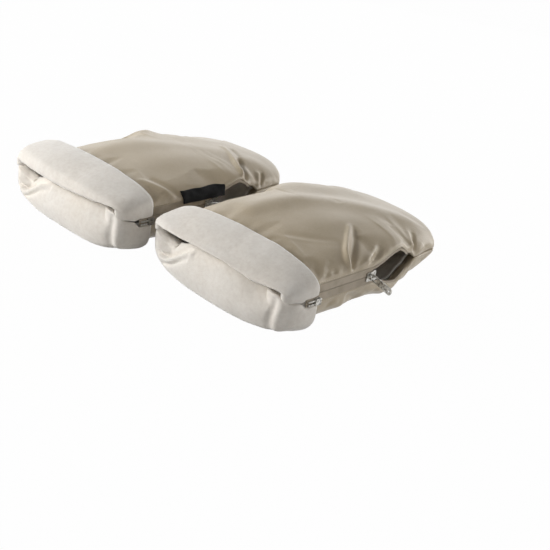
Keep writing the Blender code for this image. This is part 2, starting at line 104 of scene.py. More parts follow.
# The layers, from the face inwards, and the gaps between them
shell_thickness = 0.009
lining_thickness = 0.003
layer_gap = 0.0003
lining_gap = 0.0010
seam_gap = 0.00015
front_gap = 0.0012
lining_outer = -(shell_thickness + lining_gap)
lining_inner = lining_outer - lining_thickness

# The cuff: its depth along the muff, its roll at the mouth and its wall
cuff_depth = 0.047
cuff_thickness = 0.010
roll_depth = 0.020
slit_half_height = 0.0030
lip_rim = 0.0020
hem_y = mouth_y + cuff_depth
shell_front_y = mouth_y + roll_depth
cuff_top_shares = ((0.05, 0.93), (0.30, 1.05), (0.58, 1.00), (0.82, 0.72))
cuff_edge_share = 0.45
hem_bevel = 0.0003

# The two halves: where the crest rises behind the mouth, how the nose falls (powers), how far
# the gape bulges, the powers of the section's width and height along the muff and at the mouth,
# and the cuff's roll as shares of its depth and of its height
UPPER = {
    "name": "top",
    "sign": 1,
    "ramp_start": mouth_y,
    "ramp": 0.145,
    "nose_length": 0.195,
    "nose_shares": (2.6, 0.5),
    "gape": 0.011,
    "shares": (0.80, 0.86),
    "mouth_shares": (0.80, 0.86),
    "roll": ((0.09, 0.28), (0.00, 0.56), (0.05, 0.82), (0.16, 0.97), (0.30, 1.00)),
}
LOWER = {
    "name": "bottom",
    "sign": -1,
    "crest": 0.0405,
    "mouth_crest": 0.0300,
    "ramp_start": hem_y - belly_start,
    "ramp": 0.045 + belly_start,
    "nose_length": 0.123,
    "nose_shares": (2.2, 0.75),
    "gape": 0.010,
    "shares": (0.84, 0.74),
    "mouth_shares": (0.74, 0.58),
    "roll": ((0.07, 0.24), (0.00, 0.50), (0.05, 0.78), (0.16, 0.93), (0.30, 1.00)),
}

# The modelled cloth: its grids and seams
shell_rows = 221
shell_columns = 201
lining_rows = 60
lining_columns = 48
cuff_columns = 150
cuff_outline_steps = 72
cuff_inner_steps = 5
cuff_curve_steps = 8
cuff_end_turns = 7
fine_steps = 1201
shell_girth = 0.215
seam_roll = 0.0012
rim_cover = 0.0011

# How soft it lies: its fill, and its unevenness as heights and wavelengths
padding_height = 0.0007
padding_run = 0.020
lift_cap = 0.0062
shell_unevenness = ((0.0011, 0.060), (0.00015, 0.022))
lining_unevenness = ((0.0012, 0.030), (0.0005, 0.012))
cuff_unevenness = ((0.0010, 0.036), (0.00035, 0.012))
lining_sink = 0.0004
noise_steps = (7.31, 3.17, 5.93)

# Gathers along a seam
gather_height = 0.0004
gather_reach = 0.008
gather_pitch = 0.0115
gather_wander = 5
gather_wander_length = 0.030
gather_patch_length = 0.022

# How soon all this sets in: behind the hem, over a rim, off the ground and on the cuff. The
# cuff's sections are spaced as at cuff_middle_y.
hem_clear = 0.001
hem_fade = 0.010
rim_fade = 0.007
rest_fade = 0.006
cuff_skin_fade = 0.004
cuff_front_share = 0.35
cuff_front_fade = 0.008
cuff_lip_fade = 0.004
cuff_end_skin_fade = 0.003
cuff_end_front_fade = 0.006
cuff_middle_y = -0.11

# The cuff's lips: how far they stand from the zip's line at the mouth and beside the tape ends,
# where that changes, and how round they are
lip_gap = 0.0005
tape_clear = 0.0041
tape_start = -0.1105
tape_fade = 0.006
lip_radius = 0.0024
tape_lip_radius = 0.0018
lip_reach = 0.011

# How much fuller than the solid a cuff's upper side is
cuff_swell = {"right": 0.0, "left": 0.0036}


def smooth(value):
    """From 0 to 1 with a soft start and end."""
    share = np.clip(value, 0, 1)
    return share * share * (3 - 2 * share)


def bell(value):
    """1 at 0 and nothing from about 2 on."""
    return np.exp(-(value**2))


def unit(vectors):
    """The vectors of an array, each with the length 1."""
    length = np.linalg.norm(vectors, axis=-1, keepdims=True)
    return vectors / np.maximum(length, 1e-12)


# The surface of a half. angle runs round the section from the +X rim to the -X rim, y is the
# station along the muff and out is how far the surface stands out from the shell's face.


def half_width(y):
    """Half the shell's width at a station, narrower to the nose and round at its corners."""
    narrowing = smooth((y - gape_start) / (nose_y - gape_start))
    into_corner = np.clip((y - nose_y) / nose_corner + 1, 0, 1)
    rounding = nose_corner * (1 - np.sqrt(1 - into_corner**2))
    return (shell_width + (nose_width - shell_width) * narrowing) / 2 - rounding


def side_rim_height(half, y):
    """How far a shell's side rim stands from the zip's line: it bulges round the gape."""
    peak = gape_start + (gape_end - gape_start) * gape_peak_share
    spread = np.where(y < peak, peak - gape_start, gape_end - peak)
    bulge = half["gape"] * smooth(1 - np.abs(y - peak) / spread)
    closing = smooth((y - gape_end) / gape_seam_length)
    return (side_rim + bulge) * (1 - closing) + seam_gap * closing


def crest_height(half, y, out):
    """How far the section's middle stands from the zip's line."""
    rise = np.sin(math.pi / 2 * np.clip((y - half["ramp_start"]) / half["ramp"], 0, 1))
    full = half["mouth_crest"] + (half["crest"] - half["mouth_crest"]) * rise
    length = half["nose_length"] + out * nose_wall_ratio
    along = np.clip((y - nose_y + half["nose_length"]) / length, 0, 1)
    power, root = half["nose_shares"]
    return (full + out) * (1 - along**power) ** root


def plan_shift(y, across):
    """How far the mouth's and the nose's sides bow back, for places from -1 to 1 across."""
    to_mouth = np.clip((hem_y - y) / cuff_depth, 0, 1)
    to_nose = np.clip((y - nose_start) / (nose_y - nose_start), 0, 1)
    return (mouth_bow * to_mouth - nose_bow * to_nose) * np.abs(across) ** plan_round_power


def place(half, angle, y, out):
    """Points of the surface, for arrays of angle, y and out that go together."""
    angle, y, out = np.broadcast_arrays(*(np.asarray(v, float) for v in (angle, y, out)))
    back = smooth((y - shell_front_y) / (slider_y - shell_front_y))
    squareness = half["mouth_shares"][0] * (1 - back) + half["shares"][0] * back
    flatness = half["mouth_shares"][1] * (1 - back) + half["shares"][1] * back
    across = np.sign(np.cos(angle)) * np.abs(np.cos(angle)) ** squareness
    up = np.maximum(np.sin(angle), 0) ** flatness
    crest = crest_height(half, y, out)
    rim = side_rim_height(half, y)
    rim = np.where(y < hem_y, np.minimum(rim, np.maximum(crest, lip_rim)), rim)
    rise = np.where(y >= nose_y + np.minimum(out, 0) * nose_wall_ratio, 0, crest - rim)
    height = rim + rise * up
    z = np.maximum(chain_height + half["sign"] * height, 0)
    return np.stack([(half_width(y) + out) * across, y + plan_shift(y, across), z], -1)


def outward(points, half):
    """Unit normals of a grid of points, pointing out of the muff."""
    along = np.gradient(points, axis=0)
    round_it = np.gradient(points, axis=1)
    return unit(np.cross(round_it, along) * -half["sign"])


def walked_length(points):
    """How far each of a row of points lies along the row."""
    run = np.linalg.norm(np.diff(points, axis=0), axis=1)
    return np.concatenate([[0], np.cumsum(run)])


def even_stations(half, count):
    """Shares from the mouth end to the nose that are evenly spaced along the crest."""
    fine = np.linspace(0, 1, fine_steps)
    y = shell_front_y + (nose_y - shell_front_y) * fine
    walked = walked_length(np.stack([y, crest_height(half, y, 0)], -1))
    return np.interp(np.linspace(0, walked[-1], count), walked, fine)


def even_angles(half, count, y, out=0.0):
    """Angles from rim to rim that are evenly spaced round the section at a station."""
    fine = np.linspace(0, math.pi, fine_steps)
    walked = walked_length(place(half, fine, y, out))
    return np.interp(np.linspace(0, walked[-1], count), walked, fine)


# Folds and creases of the shells. Each is (half, places, width, height): places are (share of the
# way round from the +X rim to the -X rim, station), and a negative height is a groove.
near_fold_top = ((0.36, -0.002), (0.27, -0.026))
near_groove_top = ((0.33, -0.002), (0.23, -0.022))
far_fold_top = ((0.48, 0.072), (0.36, 0.058))
far_groove_top = ((0.45, 0.080), (0.33, 0.065))
near_folds = [
    ("top", ((0.36, -0.075), (0.30, -0.020), (0.27, 0.030)), 0.0210, -0.0022),
    ("top", ((0.46, -0.078), (0.36, -0.058), (0.28, -0.036)), 0.0036, 0.0008),
    ("top", ((0.44, -0.070), (0.34, -0.051), (0.27, -0.032)), 0.0060, -0.0010),
    ("top", (*near_fold_top, (0.19, -0.040), (0.09, -0.045), (0.01, -0.041)), 0.0028, 0.0050),
    ("top", (*near_groove_top, (0.15, -0.034), (0.06, -0.039), (0.01, -0.038)), 0.0036, -0.0040),
    ("top", ((0.17, 0.004), (0.11, -0.011), (0.05, -0.022), (0.01, -0.027)), 0.0036, 0.0028),
    ("top", ((0.15, 0.010), (0.08, -0.004), (0.02, -0.017)), 0.0038, -0.0026),
    ("top", ((0.24, 0.068), (0.14, 0.060), (0.06, 0.056), (0.01, 0.055)), 0.0038, 0.0024),
    ("top", ((0.22, 0.075), (0.13, 0.066), (0.06, 0.062), (0.01, 0.060)), 0.0038, -0.0028),
    ("top", ((0.10, 0.086), (0.06, 0.076), (0.01, 0.070)), 0.0040, 0.0016),
    ("top", ((0.24, -0.088), (0.14, -0.080), (0.06, -0.072)), 0.0060, -0.0010),
    ("top", ((0.72, 0.000), (0.68, 0.050), (0.62, 0.095)), 0.0260, 0.0030),
    ("bottom", ((0.01, -0.042), (0.05, -0.032), (0.12, -0.022)), 0.0050, -0.0034),
    ("bottom", ((0.01, -0.060), (0.05, -0.052), (0.13, -0.042)), 0.0070, 0.0024),
    ("bottom", ((0.02, 0.004), (0.08, 0.014), (0.18, 0.020)), 0.0060, 0.0018),
]
far_folds = [
    ("top", ((0.84, -0.110), (0.82, -0.050), (0.80, 0.020)), 0.0320, -0.0042),
    ("top", ((0.74, -0.010), (0.72, 0.030), (0.68, 0.065)), 0.0220, -0.0024),
    ("top", ((0.76, 0.060), (0.68, 0.090), (0.58, 0.108)), 0.0240, -0.0036),
    ("top", ((0.34, -0.070), (0.30, -0.020), (0.28, 0.020)), 0.0200, -0.0016),
    ("top", (*far_fold_top, (0.25, 0.045), (0.14, 0.040), (0.03, 0.037)), 0.0029, 0.0056),
    ("top", (*far_groove_top, (0.22, 0.052), (0.12, 0.046), (0.02, 0.043)), 0.0030, -0.0048),
    ("top", ((0.34, -0.078), (0.24, -0.070), (0.12, -0.062), (0.04, -0.058)), 0.0040, 0.0024),
    ("top", ((0.32, -0.066), (0.23, -0.060), (0.12, -0.053), (0.05, -0.050)), 0.0040, -0.0022),
    ("top", ((0.20, 0.076), (0.10, 0.066), (0.02, 0.061)), 0.0030, 0.0026),
    ("top", ((0.19, 0.084), (0.10, 0.074), (0.02, 0.069)), 0.0030, -0.0028),
    ("bottom", ((0.02, -0.030), (0.07, -0.018), (0.16, -0.006)), 0.0060, -0.0030),
    ("bottom", ((0.02, 0.004), (0.08, 0.014), (0.18, 0.020)), 0.0060, 0.0018),
]
fold_steps = 24
corner_cuts = 3
fold_end = 0.02
fold_taper = 0.60

# The slit between the cuff's lips, as (place across the mouth, height over the zip's line): it
# waves, and at its +X end it turns down
near_slit = (
    (-0.096, 0.002),
    (-0.076, 0.004),
    (-0.030, 0.008),
    (0.014, 0.011),
    (0.052, 0.005),
    (0.078, 0.007),
    (0.090, 0.002),
)
far_slit = (
    (-0.096, -0.001),
    (-0.050, 0.003),
    (0.012, 0.005),
    (0.060, 0.009),
    (0.080, 0.010),
    (0.092, 0.003),
)
slit_blur = 0.003
slit_end_y = -0.107
slit_full_y = -0.122

# The pocket at the slit's -X end, where the lower lip sags: its middle, half width and depth
pocket_place = -0.066
pocket_half_width = 0.032
pocket_drop = 0.0115
pocket_rise = 0.0010
pocket_sink = 0.0080
pocket_sink_height = 0.014
pocket_end_y = -0.106
pocket_full_y = -0.130
pocket_face_y = mouth_y + roll_depth * 0.75
pocket_face_fade = roll_depth / 2

# Folds on the front of the lower cuff, as (place across, depth under the zip's line) at both ends,
# then width and height
cuff_fold_end = 0.15
cuff_fold_fade = 0.006
near_cuff_folds = (
    ((-0.030, -0.002), (-0.082, 0.010), 0.0024, 0.0030),
    ((-0.034, 0.004), (-0.080, 0.015), 0.0018, -0.0044),
    ((-0.030, 0.006), (-0.076, 0.019), 0.0026, 0.0020),
    ((-0.034, 0.011), (-0.070, 0.024), 0.0018, -0.0034),
    ((0.087, -0.006), (0.080, 0.028), 0.0036, 0.0020),
    ((0.079, 0.003), (0.073, 0.028), 0.0034, -0.0022),
)
far_cuff_folds = (
    ((-0.030, -0.002), (-0.082, 0.009), 0.0024, 0.0028),
    ((-0.026, 0.002), (-0.080, 0.014), 0.0018, -0.0044),
    ((-0.012, 0.002), (-0.074, 0.018), 0.0028, 0.0020),
    ((-0.020, 0.006), (-0.066, 0.024), 0.0020, -0.0032),
    ((0.088, -0.008), (0.085, 0.028), 0.0036, 0.0020),
    ((0.080, 0.003), (0.078, 0.028), 0.0034, -0.0020),
)


def rounded_line(places):
    """A line through places with its corners cut until it runs as a curve."""
    line = np.array(places, float)
    for _ in range(corner_cuts):
        near = line[:-1] * 0.75 + line[1:] * 0.25
        far = line[:-1] * 0.25 + line[1:] * 0.75
        middle = np.stack([near, far], 1).reshape(-1, 2)
        line = np.concatenate([line[:1], middle, line[-1:]])
    return line


def fold_line(half, places):
    """A smooth line of points on the shell's face along a fold's places."""
    share, y = rounded_line(places).T
    at = np.linspace(0, len(share) - 1, fold_steps)
    known = np.arange(len(share))
    return place(half, np.interp(at, known, share) * math.pi, np.interp(at, known, y), 0)


def beside_line(points, line):
    """Each point's distance from a line of points, and how far along the line it is nearest."""
    best = np.full(points.shape[:-1], np.inf)
    along = np.zeros(points.shape[:-1])
    for index in range(len(line) - 1):
        start, step = line[index], line[index + 1] - line[index]
        share = np.clip(((points - start) @ step) / max(step @ step, 1e-12), 0, 1)
        gap = np.linalg.norm(points - start - share[..., None] * step, axis=-1)
        nearer = gap < best
        best = np.where(nearer, gap, best)
        along = np.where(nearer, (index + share) / (len(line) - 1), along)
    return best, along


def fold_fade(along):
    """Full along a fold's middle and nothing at its ends."""
    return np.sin(math.pi * np.clip(along, fold_end, 1 - fold_end)) ** fold_taper


def fold_heights(points, half, folds):
    """How far a half's folds lift each point."""
    height = np.zeros(points.shape[:-1])
    for name, places, width, tall in folds:
        if name == half["name"]:
            gap, along = beside_line(points, fold_line(half, places))
            height += tall * fold_fade(along) * bell(gap / width)
    return height


def ridge_lift(muff, points):
    """How far the crown's ridge lifts points of the upper shell, by their distance in plan."""
    line = np.array(ridge_shares) * (shell_width / 2, nose_y)
    gap = beside_line(points[..., :2], line)[0]
    behind_hem = smooth((points[..., 1] - hem_y) / ridge_fade)
    before_nose = smooth((nose_y - nose_bow - points[..., 1]) / ridge_fade)
    return ridge_heights[muff] * bell(gap / ridge_width) * behind_hem * before_nose


def rolling(points, wavelength, seed):
    """Soft noise over a grid of points, from -1 to 1."""
    flat = points.reshape(-1, 3) / wavelength
    offset = Vector([seed * step for step in noise_steps])
    values = [noise.noise(Vector(p) + offset) for p in flat]
    return np.array(values).reshape(points.shape[:-1])


def unevenness(points, layers, seed):
    """Layers of soft noise, each with a height and a wavelength."""
    return sum(
        height * rolling(points, wavelength, seed + step)
        for step, (height, wavelength) in enumerate(layers)
    )


def gathers(points, above_rim, seed):
    """Short gathers across a seam, fading with the distance from it."""
    wander = rolling(points, gather_wander_length, seed) * gather_wander
    wave = np.sin(points[..., 1] * 2 * math.pi / gather_pitch + wander)
    patches = 0.5 + 0.5 * rolling(points, gather_patch_length, seed + 3)
    return gather_height * (wave * bell(above_rim / gather_reach) * patches)


# Meshes


def grid_quads(rows, columns, start, flip):
    """The faces of a grid of points whose numbers begin at start."""
    row, column = np.meshgrid(np.arange(rows - 1), np.arange(columns - 1), indexing="ij")
    a = start + row * columns + column
    quads = np.stack([a, a + 1, a + columns + 1, a + columns], -1).reshape(-1, 4)
    return (quads[:, ::-1] if flip else quads).tolist()


def mesh_object(name, points, faces, uvs=None):
    """A smooth object in the scene, with a cloth coordinate for each point."""
    mesh = bpy.data.meshes.new(name)
    mesh.from_pydata(np.asarray(points).tolist(), [], faces)
    if uvs is not None:
        layer = mesh.uv_layers.new(name="cloth")
        corners = np.zeros(len(mesh.loops), np.int32)
        mesh.loops.foreach_get("vertex_index", corners)
        layer.data.foreach_set("uv", np.asarray(uvs, np.float32)[corners].ravel())
    shaped = bmesh.new()
    shaped.from_mesh(mesh)
    bmesh.ops.recalc_face_normals(shaped, faces=shaped.faces)
    shaped.to_mesh(mesh)
    shaped.free()
    mesh.shade_smooth()
    made = bpy.data.objects.new(name, mesh)
    bpy.context.scene.collection.objects.link(made)
    return made


def closed_sheet(name, outer, inner, uvs):
    """A closed piece between two grids of points with the same rows and columns."""
    rows, columns = outer.shape[:2]
    size = rows * columns
    faces = grid_quads(rows, columns, 0, False) + grid_quads(rows, columns, size, True)
    border = list(range(columns))
    border += [row * columns + columns - 1 for row in range(1, rows)]
    border += [(rows - 1) * columns + column for column in range(columns - 2, -1, -1)]
    border += [row * columns for row in range(rows - 2, 0, -1)]
    for here, there in zip(border, border[1:] + border[:1]):
        faces.append((here, there, there + size, here + size))
    points = np.concatenate([outer.reshape(-1, 3), inner.reshape(-1, 3)])
    return mesh_object(name, points, faces, np.concatenate([uvs.reshape(-1, 2)] * 2))


def tube_faces(loops, count):
    """The faces of a tube of closed loops of points, with a flat cap at each end."""
    faces = []
    for loop in range(loops - 1):
        for corner in range(count):
            a, b = loop * count + corner, loop * count + (corner + 1) % count
            faces.append((a, b, b + count, a + count))
    faces.append(tuple(range(count)))
    faces.append(tuple(range((loops - 1) * count, loops * count)))
    return faces


def finish_piece(made, replaced, finish):
    """The piece takes a solid's place and material."""
    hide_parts(replaced)
    made.data.materials.append(finish)
    return made


def body_of(muff, half):
    """The body that carries a half."""
    return f"{muff}_top" if half["sign"] > 0 else f"{muff}_base"


def move_with(made, muff, half):
    """A lower half stays with its base, and an upper one keeps its place, baked into its points."""
    if half["sign"] < 0:
        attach(made, body_of(muff, half))
        return
    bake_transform(made)


# The cloth simulation of a face: its borders are held, and the padding presses from inside. It
# takes every fourth point of a grid, and the points between them are filled in by halving twice.
cloth_halvings = 2
cloth_frames = 18
cloth_quality = 5
cloth_mass = 0.25
cloth_stiffness = 18
cloth_shear = 8
cloth_bending = 2.0
cloth_swell = 1.6
cloth_growth = 0.006
cloth_cap = 0.0018


def between(values):
    """Twice as many rows, each new one on a smooth curve through its four neighbours."""
    padded = np.concatenate([values[:1], values, values[-1:]])
    middle = (9 * (padded[1:-2] + padded[2:-1]) - padded[:-3] - padded[3:]) / 16
    finer = np.empty((2 * len(values) - 1, *values.shape[1:]))
    finer[::2] = values
    finer[1::2] = middle
    return finer


def held_share(stations):
    """1 along a face's borders and under the cuff, where the cloth is held."""
    held = np.zeros(stations.shape)
    held[:2] = held[-2:] = 1
    held[:, :2] = held[:, -2:] = 1
    held[stations < hem_y] = 1
    return held


def settle(name, grid, held, half):
    """How far the cloth moves each point of a grid as it fills, held where held is 1."""
    stride = 2**cloth_halvings
    grid = grid[::stride, ::stride]
    held = held[::stride, ::stride]
    rows, columns = grid.shape[:2]
    flip = half["sign"] < 0
    sheet = mesh_object(name, grid.reshape(-1, 3), grid_quads(rows, columns, 0, flip))
    group = sheet.vertex_groups.new(name="held")
    group.add(np.flatnonzero(held.ravel()).tolist(), 1.0, "REPLACE")
    cloth = sheet.modifiers.new("cloth", "CLOTH")
    settings = cloth.settings
    settings.quality = cloth_quality
    settings.mass = cloth_mass
    settings.tension_stiffness = cloth_stiffness
    settings.compression_stiffness = cloth_stiffness
    settings.shear_stiffness = cloth_shear
    settings.bending_stiffness = cloth_bending
    settings.use_pressure = True
    settings.uniform_pressure_force = cloth_swell
    settings.shrink_min = -cloth_growth
    settings.vertex_group_mass = "held"
    settings.effector_weights.gravity = 0
    cloth.collision_settings.use_collision = False
    cloth.point_cache.frame_start = 1
    cloth.point_cache.frame_end = cloth_frames
    for moment in range(1, cloth_frames + 1):
        bpy.context.scene.frame_set(moment)
    shape = sheet.evaluated_get(bpy.context.evaluated_depsgraph_get())
    moved = np.zeros(rows * columns * 3, np.float32)
    shape.data.vertices.foreach_get("co", moved)
    bpy.data.objects.remove(sheet)
    bpy.context.scene.frame_set(1)
    step = moved.reshape(grid.shape).astype(float) - grid
    length = np.linalg.norm(step, axis=-1, keepdims=True)
    step *= np.minimum(1, cloth_cap / np.maximum(length, 1e-9))
    for _ in range(cloth_halvings):
        step = between(between(step).swapaxes(0, 1)).swapaxes(0, 1)
    return step


# The soft pieces


def rim_distance(grid):
    """How far each point of a grid lies round its section from the nearer rim."""
    run = np.linalg.norm(np.diff(grid, axis=1), axis=-1)
    walked = np.concatenate([np.zeros((len(grid), 1)), np.cumsum(run, axis=1)], axis=1)
    return np.minimum(walked, walked[:, -1:] - walked)


def rolled_rim(grid, normal, half, rim, above_rim):
    """The grid with its edges rolled in at the seams, and reaching over the tapes."""
    edge = np.clip(seam_roll - above_rim, 0, seam_roll)
    roll = seam_roll - np.sqrt(np.maximum(seam_roll**2 - edge**2, 0))
    rolled = grid - unit(normal * np.array((1, 1, 0))) * roll[..., None]
    beside_rim = smooth(1 - above_rim / (3 * seam_roll))
    cover = rim_cover * beside_rim * smooth((rim - seam_gap) / side_rim)
    rolled[..., 2] -= half["sign"] * cover
    return rolled


def shell_lift(grid, half, folds, above_rim, seed):
    """How far a shell's face rises: its folds, its unevenness, its gathers and its fill."""
    lift = fold_heights(grid, half, folds)
    lift += unevenness(grid, shell_unevenness, seed)
    lift += gathers(grid, above_rim, seed + 2)
    lift += padding_height * smooth(above_rim / padding_run)
    return lift_cap * np.tanh(lift / lift_cap)


def shell_piece(muff, centre, half, folds, seed):
    """A padded half of the outer shell, with its folds, gathers and rolled seam edges."""
    share = even_stations(half, shell_rows)
    angle = even_angles(half, shell_columns, 0.0)
    angles, stations = np.meshgrid(angle, shell_front_y + (nose_y - shell_front_y) * share)
    grid = place(half, angles, stations, 0)
    rim = side_rim_height(half, stations)
    above_rim = np.abs(grid[..., 2] - chain_height) - rim
    clear = smooth((stations - hem_y - hem_clear) / hem_fade) * smooth(above_rim / rim_fade)
    if half["sign"] > 0:
        grid[..., 2] += ridge_lift(muff, grid)
    else:
        clear = clear * smooth(grid[..., 2] / rest_fade)
    normal = outward(grid, half)
    step = settle(f"{muff}_{half['name']}_face", grid, held_share(stations), half)
    grid = grid + step * clear[..., None]
    lift = shell_lift(grid, half, folds, above_rim, seed) * clear
    grid = rolled_rim(grid + normal * lift[..., None], normal, half, rim, above_rim)
    last = nose_y - shell_thickness * nose_wall_ratio
    inner_y = shell_front_y + (last - shell_front_y) * share
    inner = place(half, angles, np.broadcast_to(inner_y[:, None], angles.shape), -shell_thickness)
    uvs = np.stack([rim_distance(grid), stations], -1)
    made = closed_sheet(f"{muff}_{half['name']}_padded_shell", grid + centre, inner + centre, uvs)
    move_with(made, muff, half)
    return finish_piece(made, f"{muff}_{half['name']}_shell", shell_cloth)


def lining_piece(muff, centre, half, seed):
    """The fleece inside a half, soft and a little uneven."""
    share = np.linspace(0, 1, lining_rows)
    angle = even_angles(half, lining_columns, 0.0, lining_outer)
    grids = []
    for out in (lining_outer, lining_inner):
        last = nose_y + out * nose_wall_ratio
        angles, stations = np.meshgrid(angle, shell_front_y + (last - shell_front_y) * share)
        grids.append(place(half, angles, stations, out))
    inner = grids[1]
    above_rim = np.abs(inner[..., 2] - chain_height) - side_rim_height(half, stations)
    soft = unevenness(inner, lining_unevenness, seed) - lining_sink
    soft *= smooth(above_rim / rim_fade) * smooth((stations - shell_front_y) / hem_fade)
    inner = inner - outward(inner, half) * soft[..., None]
    uvs = np.stack([angles / math.pi * shell_girth, stations], -1)
    name = f"{muff}_{half['name']}_fleece_lining"
    made = closed_sheet(name, grids[0] + centre, inner + centre, uvs)
    move_with(made, muff, half)
    return finish_piece(made, f"{muff}_{half['name']}_lining", fleece)


def cuff_outline(half):
    """The cuff's closed outline as (station, distance out), evenly spaced and rounded."""
    full = cuff_thickness + half["mouth_crest"] - slit_half_height
    points = [(hem_y, layer_gap), (hem_y + hem_bevel, cuff_thickness * cuff_edge_share)]
    for along, share in cuff_top_shares:
        points.append((hem_y - cuff_depth * along, cuff_thickness * share))
    for along, depth in half["roll"]:
        points.append((mouth_y + cuff_depth * along, cuff_thickness - full * depth))
    back = shell_front_y - front_gap
    shown = len(points)
    points += [(back, lining_inner), (back, layer_gap)]
    points += [(y, layer_gap) for y in np.linspace(back, hem_y, cuff_inner_steps + 1)[1:-1]]
    line = np.array(points)
    count = len(line)
    rounded = []
    for index in range(count):
        a, b, c, d = (line[(index + k - 1) % count] for k in range(4))
        straight = index >= shown - 1
        for t in np.linspace(0, 1, cuff_curve_steps + 1)[:-1]:
            if straight:
                rounded.append(b + (c - b) * t)
            else:
                rounded.append(
                    0.5 * (2 * b + (c - a) * t + (2 * a - 5 * b + 4 * c - d) * t**2)
                    + 0.5 * (3 * b - a - 3 * c + d) * t**3
                )
    closed = np.vstack([rounded, rounded[:1]])
    walked = walked_length(closed)
    at = np.linspace(0, walked[-1], cuff_outline_steps + 1)[:-1]
    return np.stack([np.interp(at, walked, closed[:, k]) for k in (0, 1)], -1), at


def lip_height(y):
    """How far a cuff's lip stands from the zip's line at a station."""
    return lip_gap + (tape_clear - lip_gap) * smooth((y - tape_start + tape_fade) / tape_fade)


def lip_round(y):
    """How round a cuff's lip is at a station."""
    beside_tape = smooth((y - tape_start + tape_fade) / tape_fade)
    return lip_radius + (tape_lip_radius - lip_radius) * beside_tape


def closed_lips(points, half):
    """The lips brought together at the slit, which the solids leave open."""
    height = np.abs(points[..., 2] - chain_height)
    before_tape = smooth((tape_start - points[..., 1]) / tape_fade)
    near_slit_line = 1 - smooth((height - slit_half_height) / lip_reach)
    moved = points.copy()
    closing = (slit_half_height - lip_gap) * near_slit_line * before_tape
    moved[..., 2] -= half["sign"] * closing
    return moved


def cuff_end(ring, outs, half):
    """The loops that carry a cuff's end round from its wall to its flat underside."""
    y = ring[:, 1]
    rim = lip_height(y)
    over = np.maximum(np.abs(ring[:, 2] - chain_height) - rim, 0)
    step = np.roll(ring, -1, 0)[:, :2] - np.roll(ring, 1, 0)[:, :2]
    normal = unit(np.stack([step[:, 1], -step[:, 0]], -1))
    widest = np.argmax(np.abs(ring[:, 0]))
    if normal[widest, 0] * ring[widest, 0] < 0:
        normal = -normal
    skin = smooth((outs - cuff_edge_share * cuff_thickness) / cuff_end_skin_fade)
    front = smooth((mouth_y + roll_depth / 2 - y) / cuff_end_front_fade)
    weight = np.clip(skin + front, 0, 1)[:, None]
    loops = []
    for turn in np.linspace(0, math.pi / 2, cuff_end_turns):
        radius = np.minimum(lip_round(y), over)
        loop = ring.copy()
        loop[:, :2] -= normal * weight * (lip_round(y) * (1 - math.cos(turn)))[:, None]
        loop[:, 2] = chain_height + half["sign"] * (rim + radius * (1 - math.sin(turn)))
        loops.append(loop)
    return loops


def slit_shift(points, half, slit):
    """How far the lips' line rises or falls, for both cuffs alike."""
    x = points[..., 0]
    places, heights = np.array(slit).T
    steps = (-slit_blur, -slit_blur / 2, 0, slit_blur / 2, slit_blur)
    wave = sum(np.interp(x + step, places, heights) for step in steps) / len(steps)
    front = smooth((slit_end_y - points[..., 1]) / (slit_end_y - slit_full_y))
    height = np.abs(points[..., 2] - chain_height)
    reach = half["mouth_crest"] + cuff_thickness
    return wave * front * (1 - smooth(height / reach))


def pocket_shift(points, half):
    """How the lips part at the slit's -X end: the lower one sags, and both sink in a little."""
    across = 1 - smooth(np.abs(points[..., 0] - pocket_place) / pocket_half_width)
    front = smooth((pocket_end_y - points[..., 1]) / (pocket_end_y - pocket_full_y))
    face = smooth((pocket_face_y - points[..., 1]) / pocket_face_fade)
    height = np.abs(points[..., 2] - chain_height)
    reach = half["mouth_crest"] + cuff_thickness / 2
    amount = pocket_rise if half["sign"] > 0 else -pocket_drop
    shift = np.zeros(points.shape)
    shift[..., 2] = amount * across * front * (1 - smooth(height / reach))
    if half["sign"] < 0:
        shift[..., 1] = pocket_sink * across * face * (1 - smooth(height / pocket_sink_height))
    return shift


def cuff_fold_heights(points, folds):
    """Folds on the front of the lower cuff, drawn in the plane of the mouth."""
    flat = np.stack([points[..., 0], chain_height - points[..., 2]], -1)
    height = np.zeros(points.shape[:-1])
    for start, end, width, tall in folds:
        gap, along = beside_line(flat, np.array((start, end)))
        faded = fold_fade(cuff_fold_end + (1 - 2 * cuff_fold_end) * along)
        height += tall * faded * bell(gap / width)
    return height * smooth((pocket_end_y - points[..., 1]) / cuff_fold_fade)


def cuff_grid(half, outline):
    """Closed loops of points from end to end of a cuff's half, its rounded ends with them."""
    angle = even_angles(half, cuff_columns, cuff_middle_y)
    angles, stations = np.meshgrid(angle, outline[:, 0], indexing="ij")
    outs = np.broadcast_to(outline[:, 1], stations.shape)
    grid = closed_lips(place(half, angles, stations, outs), half)
    ends = [cuff_end(grid[index], outline[:, 1], half) for index in (0, -1)]
    return np.stack(ends[0][::-1] + list(grid) + ends[1])


def cuff_normals(grid, half):
    """Unit normals of a cuff's loops, pointing out of the cloth."""
    round_it = np.roll(grid, -1, 1) - np.roll(grid, 1, 1)
    normal = unit(np.cross(np.gradient(grid, axis=0), round_it))
    crown = normal[len(grid) // 2, cuff_outline_steps // 8, 2] * half["sign"]
    return normal * np.sign(crown)


